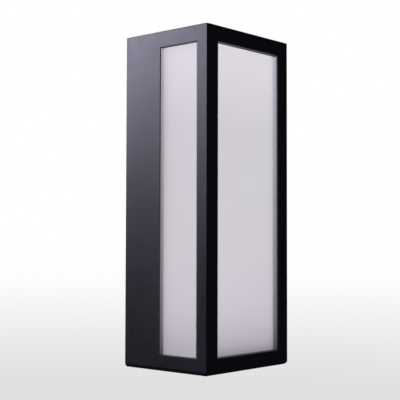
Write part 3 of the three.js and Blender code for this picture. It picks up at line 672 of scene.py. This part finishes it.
ENDS = ("upper", "lower")
SIDES = ("left", "right")
for end in ENDS:
    for side in SIDES:
        add_screw(f"tray_screw_{end}_{side}", FACING_WALL, 2.4 * MM, 0.7 * MM)
        add_screw(f"board_screw_{end}_{side}", FACING_FRONT, 1.8 * MM, 0.5 * MM)
    add_screw(f"driver_screw_{end}", FACING_WALL, 1.8 * MM, 0.5 * MM)
add_screw("terminal_screw", FACING_WALL, 1.8 * MM, 0.5 * MM)
add_screw("tray_ground_screw", FACING_WALL, 2.6 * MM, 0.7 * MM)
add_screw("plate_ground_screw", FACING_FRONT, 2.6 * MM, 0.7 * MM)
for side in SIDES:
    add_screw(f"retaining_screw_{side}", FACING_DOWN, 2.2 * MM, 0.7 * MM, socket_recess, 0.2)


def add_grommet(node, bore, neck, flange, flange_depth):
    """A moulded rubber ring, bulged at its flanges, that lines a hole in a sheet across Y."""
    low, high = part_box(node)
    half = (high.y - low.y) / 2
    inner = half - flange_depth
    profile = rounded(
        [(bore, 0), (bore, -half), (flange, -half), (flange, -inner), (neck, -inner), (neck, inner),
         (flange, inner), (flange, half), (bore, half), (bore, 0)], 0.42 * flange_depth)
    mesh = skin(node + "_moulded", lathe_rings(profile[:-1], 72), closed=True)
    place(mesh, FACING_WALL, middle(node))
    stand_in(mesh, node)


add_grommet("tray_grommet", 3.6 * MM, 5.7 * MM, 8 * MM, 1.4 * MM)
add_grommet("cable_grommet", 10 * MM, 15.7 * MM, 19 * MM, 1.6 * MM)


def add_washer(node, bore):
    """A stamped washer with softened rims, its axis upright."""
    low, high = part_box(node)
    outer, half = (high.x - low.x) / 2, (high.z - low.z) / 2
    profile = rounded(
        [(bore, 0), (bore, -half), (outer, -half), (outer, half), (bore, half), (bore, 0)],
        0.25 * half, 3)
    mesh = skin(node + "_stamped", lathe_rings(profile[:-1], 64), closed=True)
    place(mesh, FACING_DOWN, middle(node))
    stand_in(mesh, node)


def add_nut(node, bore, corner, pitch):
    """A hexagon nut with chamfered corners and a threaded bore, its axis upright."""
    low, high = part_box(node)
    half = (high.z - low.z) / 2
    flat = corner * math.cos(math.pi / 6)
    sides, rows = 72, 40
    angles = [2 * math.pi * i / sides for i in range(sides)]

    def hexagon(angle):
        return flat / math.cos((angle + math.pi / 6) % (math.pi / 3) - math.pi / 6)

    rings = []
    for row in range(rows + 1):
        h = half - 2 * half * row / rows
        ring = []
        for angle in angles:
            phase = (h / pitch - angle / (2 * math.pi)) % 1
            radius = bore - 0.2 * pitch * (1 - abs(2 * phase - 1))
            ring.append(Vector((radius * math.cos(angle), h, radius * math.sin(angle))))
        rings.append(ring)
    rise = corner - flat
    chamfer = ((0.0, 0.97 * flat), (0.1 * rise, flat), (0.6 * rise, corner))  # depth and radius
    outline = [(depth - half, reach) for depth, reach in chamfer]
    outline += [(half - depth, reach) for depth, reach in reversed(chamfer)]
    for h, reach in outline:
        rings.append([
            Vector((min(hexagon(a), reach) * math.cos(a), h, min(hexagon(a), reach) * math.sin(a)))
            for a in angles])
    mesh = skin(node + "_cut", rings, closed=True)
    place(mesh, FACING_DOWN, middle(node))
    stand_in(mesh, node)


for side in SIDES:
    add_washer(f"retaining_washer_{side}", 2.3 * MM)
    add_nut(f"captive_nut_{side}", 2.2 * MM, 4.04 * MM, 0.7 * MM)


# ---------------------------------------------------------------- leads

def smooth_line(points, per_span=8):
    """A centripetal Catmull-Rom line through points given in millimetres."""
    knots = [Vector(point) * MM for point in points]
    knots = [2 * knots[0] - knots[1]] + knots + [2 * knots[-1] - knots[-2]]
    line = []
    for a, b, c, d in zip(knots, knots[1:], knots[2:], knots[3:]):
        tb = (b - a).length ** 0.5
        tc = tb + (c - b).length ** 0.5
        td = tc + (d - c).length ** 0.5
        for i in range(per_span):
            t = tb + (tc - tb) * i / per_span
            ab = a.lerp(b, t / tb)
            bc = b.lerp(c, (t - tb) / (tc - tb))
            cd = c.lerp(d, (t - tc) / (td - tc))
            abc = ab.lerp(bc, t / tc)
            bcd = bc.lerp(cd, (t - tb) / (td - tb))
            line.append(abc.lerp(bcd, (t - tb) / (tc - tb)))
    line.append(knots[-2])
    return line


def tube(name, line, radius, sides=20):
    """A round tube along a line, its ends slightly rounded."""
    tangents = [(after - before).normalized()
                for before, after in zip([line[0]] + line[:-1], line[1:] + [line[-1]])]
    across = tangents[0].orthogonal().normalized()
    rings = []
    for i, (point, tangent) in enumerate(zip(line, tangents)):
        across = (across - tangent * across.dot(tangent)).normalized()
        other = tangent.cross(across)
        reach = radius * (0.8 if i in (0, len(line) - 1) else 1.0)
        rings.append([
            point + reach * (across * math.cos(a) + other * math.sin(a))
            for a in (2 * math.pi * k / sides for k in range(sides))])
    return skin(name, rings)


def add_lead(node, route, radius):
    """An insulated wire along the CAD wire's own route, with its ends cut square."""
    line = smooth_line(route)
    start, end = line[0], line[-1]
    bite = 0.25 * radius
    line.insert(1, start + (line[1] - start).normalized() * bite)
    line.insert(len(line) - 1, end + (line[-2] - end).normalized() * bite)
    stand_in(tube(node + "_insulated", line, radius), node)


BAY = -37.5  # front of the wiring bay, in mm like the rest of the routes
BORE = BAY + 8  # where the leads enter the driver and the terminals
DRIVER_X, DRIVER_END = -26, 65.3
TERMINAL_X, TERMINAL_Z, TERMINAL_HALF = 27, 30, 11
CONNECTOR_Z = -92
GROMMET_Z = -104
GROUND_X, GROUND_Z = 38, -20
BOARD_FACE = -40.9  # front of the circuit boards
WIRE, THIN_WIRE = 1.3 * MM, 1.1 * MM


def pole(i):
    """The X of a terminal: -1, 0 or 1 from left to right."""
    return TERMINAL_X - 3 + 10 * i


def mains_route(start, end, top):
    """Up out of the driver, over, and down into a terminal."""
    return [
        (start, BORE, DRIVER_END), (start, BORE, DRIVER_END + 8), (start + 4, BORE, top - 4),
        (start + 12, BORE, top), ((start + end) / 2, BORE, top), (end - 8, BORE, top - 2),
        (end, BORE, top - 12), (end, BORE, TERMINAL_Z + TERMINAL_HALF + 12),
        (end, BORE, TERMINAL_Z + TERMINAL_HALF - 5)]


add_lead("lead_line", mains_route(-32, pole(0), 96), WIRE)
add_lead("lead_neutral", mains_route(-20, pole(-1), 88), WIRE)
add_lead("led_lead", [
    (DRIVER_X + 8, BORE, -DRIVER_END), (DRIVER_X + 8, BORE, -DRIVER_END - 10),
    (DRIVER_X + 14, BORE, -DRIVER_END - 22), (-6, BORE - 1, GROMMET_Z + 8),
    (-1, BORE - 5, GROMMET_Z + 1), (0, -38.8, GROMMET_Z), (0, BOARD_FACE - 4, GROMMET_Z),
    (-3, BOARD_FACE - 7, GROMMET_Z + 4), (-9, BOARD_FACE - 5, CONNECTOR_Z - 2),
    (-13, BOARD_FACE - 2.6, CONNECTOR_Z), (-16.7, BOARD_FACE - 2.2, CONNECTOR_Z)], WIRE)
add_lead("board_jumper", [
    (-21, BOARD_FACE - 2, CONNECTOR_Z + 2.8), (-20, BOARD_FACE - 2.6, CONNECTOR_Z + 7),
    (-11, BOARD_FACE - 3, CONNECTOR_Z + 13), (0, BOARD_FACE - 3.2, CONNECTOR_Z + 14),
    (11, BOARD_FACE - 3, CONNECTOR_Z + 13), (20, BOARD_FACE - 2.6, CONNECTOR_Z + 7),
    (21, BOARD_FACE - 2, CONNECTOR_Z + 2.8)], THIN_WIRE)
RING_Y = BAY + 0.1
add_lead("lead_ground", [
    (pole(1), BORE, TERMINAL_Z - TERMINAL_HALF + 5), (pole(1), BORE, TERMINAL_Z - TERMINAL_HALF - 6),
    (pole(1) - 1, BORE - 2, TERMINAL_Z - TERMINAL_HALF - 16),
    (GROUND_X + 2.6, RING_Y + 2.4, GROUND_Z + 14), (GROUND_X, RING_Y + 1.5, GROUND_Z + 8)], WIRE)


def joined(name, meshes):
    """Several meshes as one."""
    bm = bmesh.new()
    for mesh in meshes:
        bm.from_mesh(mesh)
    whole = bpy.data.meshes.new(name)
    bm.to_mesh(whole)
    bm.free()
    for mesh in meshes:
        bpy.data.meshes.remove(mesh)
    return whole


def add_ring_terminal():
    """The crimped ring on the ground lead: a flat eye, a tongue and a dented barrel."""
    bore, outer, half = 2.1 * MM, 4.4 * MM, 0.4 * MM
    profile = rounded(
        [(bore, 0), (bore, -half), (outer, -half), (outer, half), (bore, half), (bore, 0)],
        0.12 * MM, 3)
    eye = skin("eye", lathe_rings(profile[:-1], 64), closed=True)
    place(eye, FACING_WALL, Vector((GROUND_X, RING_Y + 0.4, GROUND_Z)) * MM)
    stations = (  # up from the screw, half width, half thickness, middle above the tray
        (3.6, 1.9, 0.38, 0.4), (4.6, 1.9, 0.38, 0.4), (5.2, 2.0, 0.9, 0.9), (5.8, 2.0, 1.55, 1.55),
        (6.4, 2.2, 1.3, 1.3), (7.0, 2.0, 1.55, 1.55), (7.8, 2.0, 1.6, 1.6), (8.4, 2.2, 1.3, 1.35),
        (9.0, 2.0, 1.55, 1.55), (9.6, 2.0, 1.6, 1.6))
    rings = []
    for up, wide, thick, over in stations:
        centre = Vector((GROUND_X, RING_Y + over, GROUND_Z + up))
        rings.append([
            (centre + Vector((wide * math.cos(a), thick * math.sin(a), 0))) * MM
            for a in (2 * math.pi * k / 28 for k in range(28))])
    mesh = joined("ground_ring_terminal_turned", [eye, skin("barrel", rings)])
    add_piece(mesh, "zinc_steel", body_of["lead_ground"])


add_ring_terminal()


# ---------------------------------------------------------------- boards, driver and terminals

for side in SIDES:
    refine(f"led_board_{side}", 0.12 * MM)


def add_phosphor(side, sign):
    """The slightly domed faces of the light-emitting packages on a board."""
    rim, sunk, rise, fall = 1.2 * MM, 0.05 * MM, 0.12 * MM, 0.09 * MM
    radii = [r * MM for r in (1.2, 1.0, 0.75, 0.5, 0.25, 0.04)]
    profile = [(rim, -sunk)] + [(r, rise - fall * (r / rim) ** 2) for r in radii]
    package_face = (BOARD_FACE - 0.8) * MM
    domes = []
    for i in range(PACKAGES):
        dome = skin("dome", lathe_rings(profile, 28))
        along = (i - (PACKAGES - 1) / 2) * LED_PITCH
        place(dome, FACING_FRONT, Vector((sign * BOARD_X, package_face, along)))
        domes.append(dome)
    mesh = joined(f"phosphor_{side}_moulded", domes)
    add_piece(mesh, "circuit_board", body_of[f"led_board_{side}"])


add_phosphor("left", -1)
add_phosphor("right", 1)


def rect_ring(half_x, half_z, radius, y, at, steps=5):
    """A rectangle with round corners, as one ring across Y, in millimetres like the routes."""
    ring = []
    for k, (sx, sz) in enumerate(((1, 1), (-1, 1), (-1, -1), (1, -1))):
        for i in range(steps + 1):
            a = math.pi / 2 * (k + i / steps)
            ring.append(Vector((
                at[0] + sx * (half_x - radius) + radius * math.cos(a), y,
                at[1] + sz * (half_z - radius) + radius * math.sin(a))) * MM)
    return ring


def ear_mesh(name, at, box, y_low, y_high, hole):
    """A fixing ear: a flat plate around a round hole, out to the sides of a rectangle."""
    x_low, z_low, x_high, z_high = box
    sides = 96
    angles = [2 * math.pi * (i + 0.5) / sides for i in range(sides)]

    def outline(inset, y):
        ring = []
        for a in angles:
            dx, dz = math.cos(a), math.sin(a)
            to_x = ((x_high - inset if dx > 0 else x_low + inset) - at[0]) / dx
            to_z = ((z_high - inset if dz > 0 else z_low + inset) - at[1]) / dz
            reach = min(to_x, to_z)
            ring.append(Vector((at[0] + dx * reach, y, at[1] + dz * reach)) * MM)
        return ring

    def circle(radius, y):
        return [
            Vector((at[0] + radius * math.cos(a), y, at[1] + radius * math.sin(a))) * MM
            for a in angles]

    edge = 0.3
    return skin(name, [
        circle(hole, y_low), outline(edge, y_low), outline(0, y_low + edge), outline(0, y_high - edge),
        outline(edge, y_high), circle(hole + edge, y_high), circle(hole, y_high - edge)], closed=True)


def add_driver():
    """The driver's case: a base and a lid that meet at a groove, a sunk panel, and two ears."""
    half_x, half_z = 20, 65
    groove, top = BAY + 15, BAY + 24
    crown = 2.4  # radius of the lid's edge
    panel_x, panel_z = 14.2, 56.2
    ear_reach, ear_thickness, ear_hole = 9, 2, 1.7

    def layer(inset, radius, y):
        return rect_ring(half_x - inset, half_z - inset, radius, y, (DRIVER_X, 0))

    def panel(inset, y):
        return rect_ring(panel_x - inset, panel_z - inset, 2.0 - inset / 2, y, (DRIVER_X, 0))

    rings = [
        layer(0.6, 1.0, BAY), layer(0, 1.6, BAY + 0.6),
        layer(0, 1.6, groove - 0.5), layer(0.5, 1.2, groove - 0.4),
        layer(0.5, 1.2, groove + 0.4), layer(0, 1.6, groove + 0.5)]
    for i in range(8):
        a = math.pi / 2 * i / 7
        inset = crown * (1 - math.cos(a))
        rings.append(layer(inset, max(1.6 - 0.4 * inset, 0.7), top - crown + crown * math.sin(a)))
    rings += [panel(0, top), panel(0.4, top - 0.1), panel(0.6, top - 0.5), panel(1.0, top - 0.6)]
    meshes = [skin("case", rings)]
    for sign in (-1, 1):
        z_low, z_high = sorted((sign * (half_z - 1.5), sign * (half_z + ear_reach)))
        meshes.append(ear_mesh(
            "ear", (DRIVER_X, sign * (half_z + ear_reach / 2)),
            (DRIVER_X - half_x, z_low, DRIVER_X + half_x, z_high),
            BAY, BAY + ear_thickness, ear_hole))
    stand_in(joined("led_driver_moulded", meshes), "led_driver")


add_driver()
refine("terminal_block", 0.3 * MM)


def add_driver_bushings():
    """Soft collars where the leads leave the driver's ends."""
    bore, foot, lip, low, high = 1.5, 2.9, 2.6, 0.2, 2.4
    profile = rounded([(bore, low), (foot, low), (lip, high), (bore, high), (bore, low)], 0.5, 3)
    meshes = []
    for x, sign in ((-32, 1), (-20, 1), (DRIVER_X + 8, -1)):
        rings = []
        for r, h in profile[:-1]:
            z = sign * (DRIVER_END - 0.5 + h)
            rings.append([
                Vector((x + r * math.cos(a), BORE + r * math.sin(a), z)) * MM
                for a in (2 * math.pi * k / 40 for k in range(40))])
        meshes.append(skin("collar", rings, closed=True))
    add_piece(joined("driver_bushings_moulded", meshes), "black_rubber", body_of["led_driver"])


def add_clamp_screws():
    """Slotted clamp screws down the three wells of the terminal block."""
    rim, top, slot, slot_depth, slope = 2.05, 1.7, 0.36, 0.9, 0.08
    head_y = BAY + 13.5
    crown_rings = 17
    meshes = []
    for i in (-1, 0, 1):
        rings = lathe_rings(rounded([(0.3, -1.9), (rim, -1.9), (rim, -0.1), (top, 0.0)], 0.25, 3), 40)
        for k in range(1, crown_rings + 1):
            radius = top * (1 - k / (crown_rings + 1))
            ring = []
            for a in (2 * math.pi * j / 40 for j in range(40)):
                x, z = radius * math.cos(a), radius * math.sin(a)
                cut = min(max((slot - abs(z)) / slope, 0), 1)
                ring.append(Vector((x, -slot_depth * cut, z)))
            rings.append(ring)
        screw = skin("clamp", rings)
        screw.transform(Matrix.Scale(MM, 4))
        turn = Matrix.Rotation(0.5 + 1.1 * i, 4, "Y")
        place(screw, turn, Vector((pole(i), head_y, TERMINAL_Z)) * MM)
        meshes.append(screw)
    add_piece(joined("terminal_clamps_turned", meshes), "zinc_steel", body_of["terminal_block"])


add_driver_bushings()
add_clamp_screws()


# ---------------------------------------------------------------- stage and light

FLOOR_RADIUS = 9.0
FADE_CENTRE = (-0.71, -0.62, -0.155)
FADE_REACH = 0.93
FADE_DEPTH = 0.62
DARKEST = 0.745


def add_floor():
    """A pale floor that fades to white with distance, and isn't there when seen from beneath.

    It gives no light and takes no shadow. Its tone is painted as a glow: grey round FADE_CENTRE and
    white far off.
    """
    bm = bmesh.new()
    bmesh.ops.create_circle(bm, cap_ends=True, segments=96, radius=FLOOR_RADIUS)
    mesh = bpy.data.meshes.new("floor")
    bm.to_mesh(mesh)
    bm.free()
    floor = bpy.data.objects.new("floor", mesh)
    floor.location.z = cad_box[0][2] - 0.2 * MM
    scene.collection.objects.link(floor)
    s = Shader("floor")
    s.tree.nodes.remove(s.principled)
    where = s.add("ShaderNodeNewGeometry")
    away = s.add("ShaderNodeVectorMath", operation="DISTANCE")
    s.feed(away.inputs[0], where.outputs["Position"])
    s.feed(away.inputs[1], FADE_CENTRE)
    # Painted light: the floor glows by its distance from FADE_CENTRE instead of being lit.
    fade = s.math("EXPONENT", s.math("MULTIPLY", away.outputs["Value"], -1 / FADE_REACH))
    shade = s.math("ADD", s.math("MULTIPLY", fade, -FADE_DEPTH), 1.0)
    glow = s.add("ShaderNodeEmission")
    s.feed(glow.inputs["Strength"], s.math("MAXIMUM", shade, DARKEST))
    one_sided = s.add("ShaderNodeMixShader")
    s.feed(one_sided.inputs[0], where.outputs["Backfacing"])
    s.feed(one_sided.inputs[1], glow.outputs["Emission"])
    s.feed(one_sided.inputs[2], s.add("ShaderNodeBsdfTransparent").outputs["BSDF"])
    s.feed(s.tree.nodes["Material Output"].inputs["Surface"], one_sided.outputs["Shader"])
    mesh.materials.append(s.material)
    floor.visible_diffuse = False
    floor.visible_glossy = False
    floor.visible_transmission = False
    floor.visible_shadow = False


def add_world():
    """White to the camera, a dim grey to everything else."""
    world = bpy.data.worlds.new("studio")
    scene.world = world
    world.use_nodes = True
    tree = world.node_tree
    tree.nodes.clear()
    path = tree.nodes.new("ShaderNodeLightPath")
    dim = tree.nodes.new("ShaderNodeBackground")
    dim.inputs["Color"].default_value = (0.95, 0.93, 1.0, 1.0)
    dim.inputs["Strength"].default_value = 0.02
    white = tree.nodes.new("ShaderNodeBackground")
    white.inputs["Color"].default_value = (1, 1, 1, 1)
    white.inputs["Strength"].default_value = 1.0
    choose = tree.nodes.new("ShaderNodeMixShader")
    output = tree.nodes.new("ShaderNodeOutputWorld")
    tree.links.new(path.outputs["Is Camera Ray"], choose.inputs[0])
    tree.links.new(dim.outputs[0], choose.inputs[1])
    tree.links.new(white.outputs[0], choose.inputs[2])
    tree.links.new(choose.outputs[0], output.inputs["Surface"])


def add_softbox(name, at, aim, size, power, colour=(0.965, 0.945, 1.0)):
    """A flat rectangular light at one point, turned towards another."""
    data = bpy.data.lights.new(name, "AREA")
    data.shape = "RECTANGLE"
    data.size, data.size_y = size
    data.energy = power
    data.color = colour
    light = bpy.data.objects.new(name, data)
    light.location = at
    light.rotation_euler = (Vector(aim) - Vector(at)).to_track_quat("-Z", "Y").to_euler()
    scene.collection.objects.link(light)
    return light


add_floor()
add_world()
key = add_softbox("key", (-3.57, -3.40, -0.12), (0, -0.05, 0.0), (0.8, 0.8), 326)
key.visible_glossy = False
side_strip = add_softbox(
    "side_strip", (-0.75, 1.16, 0.64), (-0.06, -0.05, 0.05), (1.25, 0.6), 28.5, (0.82, 0.775, 1.0))
side_strip.visible_diffuse = False
add_softbox("rear_right", (1.05, 0.85, 0.55), (0, 0, 0), (1.6, 1.6), 26)
add_softbox("overhead", (0.75, 0.7, 1.5), (0, 0, 0), (1.0, 1.0), 26)
scene.view_settings.view_transform = "Standard"
scene.view_settings.look = "None"
scene.view_settings.exposure = 0
scene.view_settings.gamma = 1


def shade_by_angle(piece):
    """Smooth shading that keeps a piece's sharper edges."""
    with bpy.context.temp_override(object=piece, active_object=piece, selected_objects=[piece]):
        bpy.ops.object.shade_auto_smooth(angle=math.radians(40))


MADE_HERE = ("_turned", "_moulded", "_stamped", "_cut", "_insulated")
for piece in list(scene.objects):
    if piece.name.endswith(MADE_HERE):
        shade_by_angle(piece)
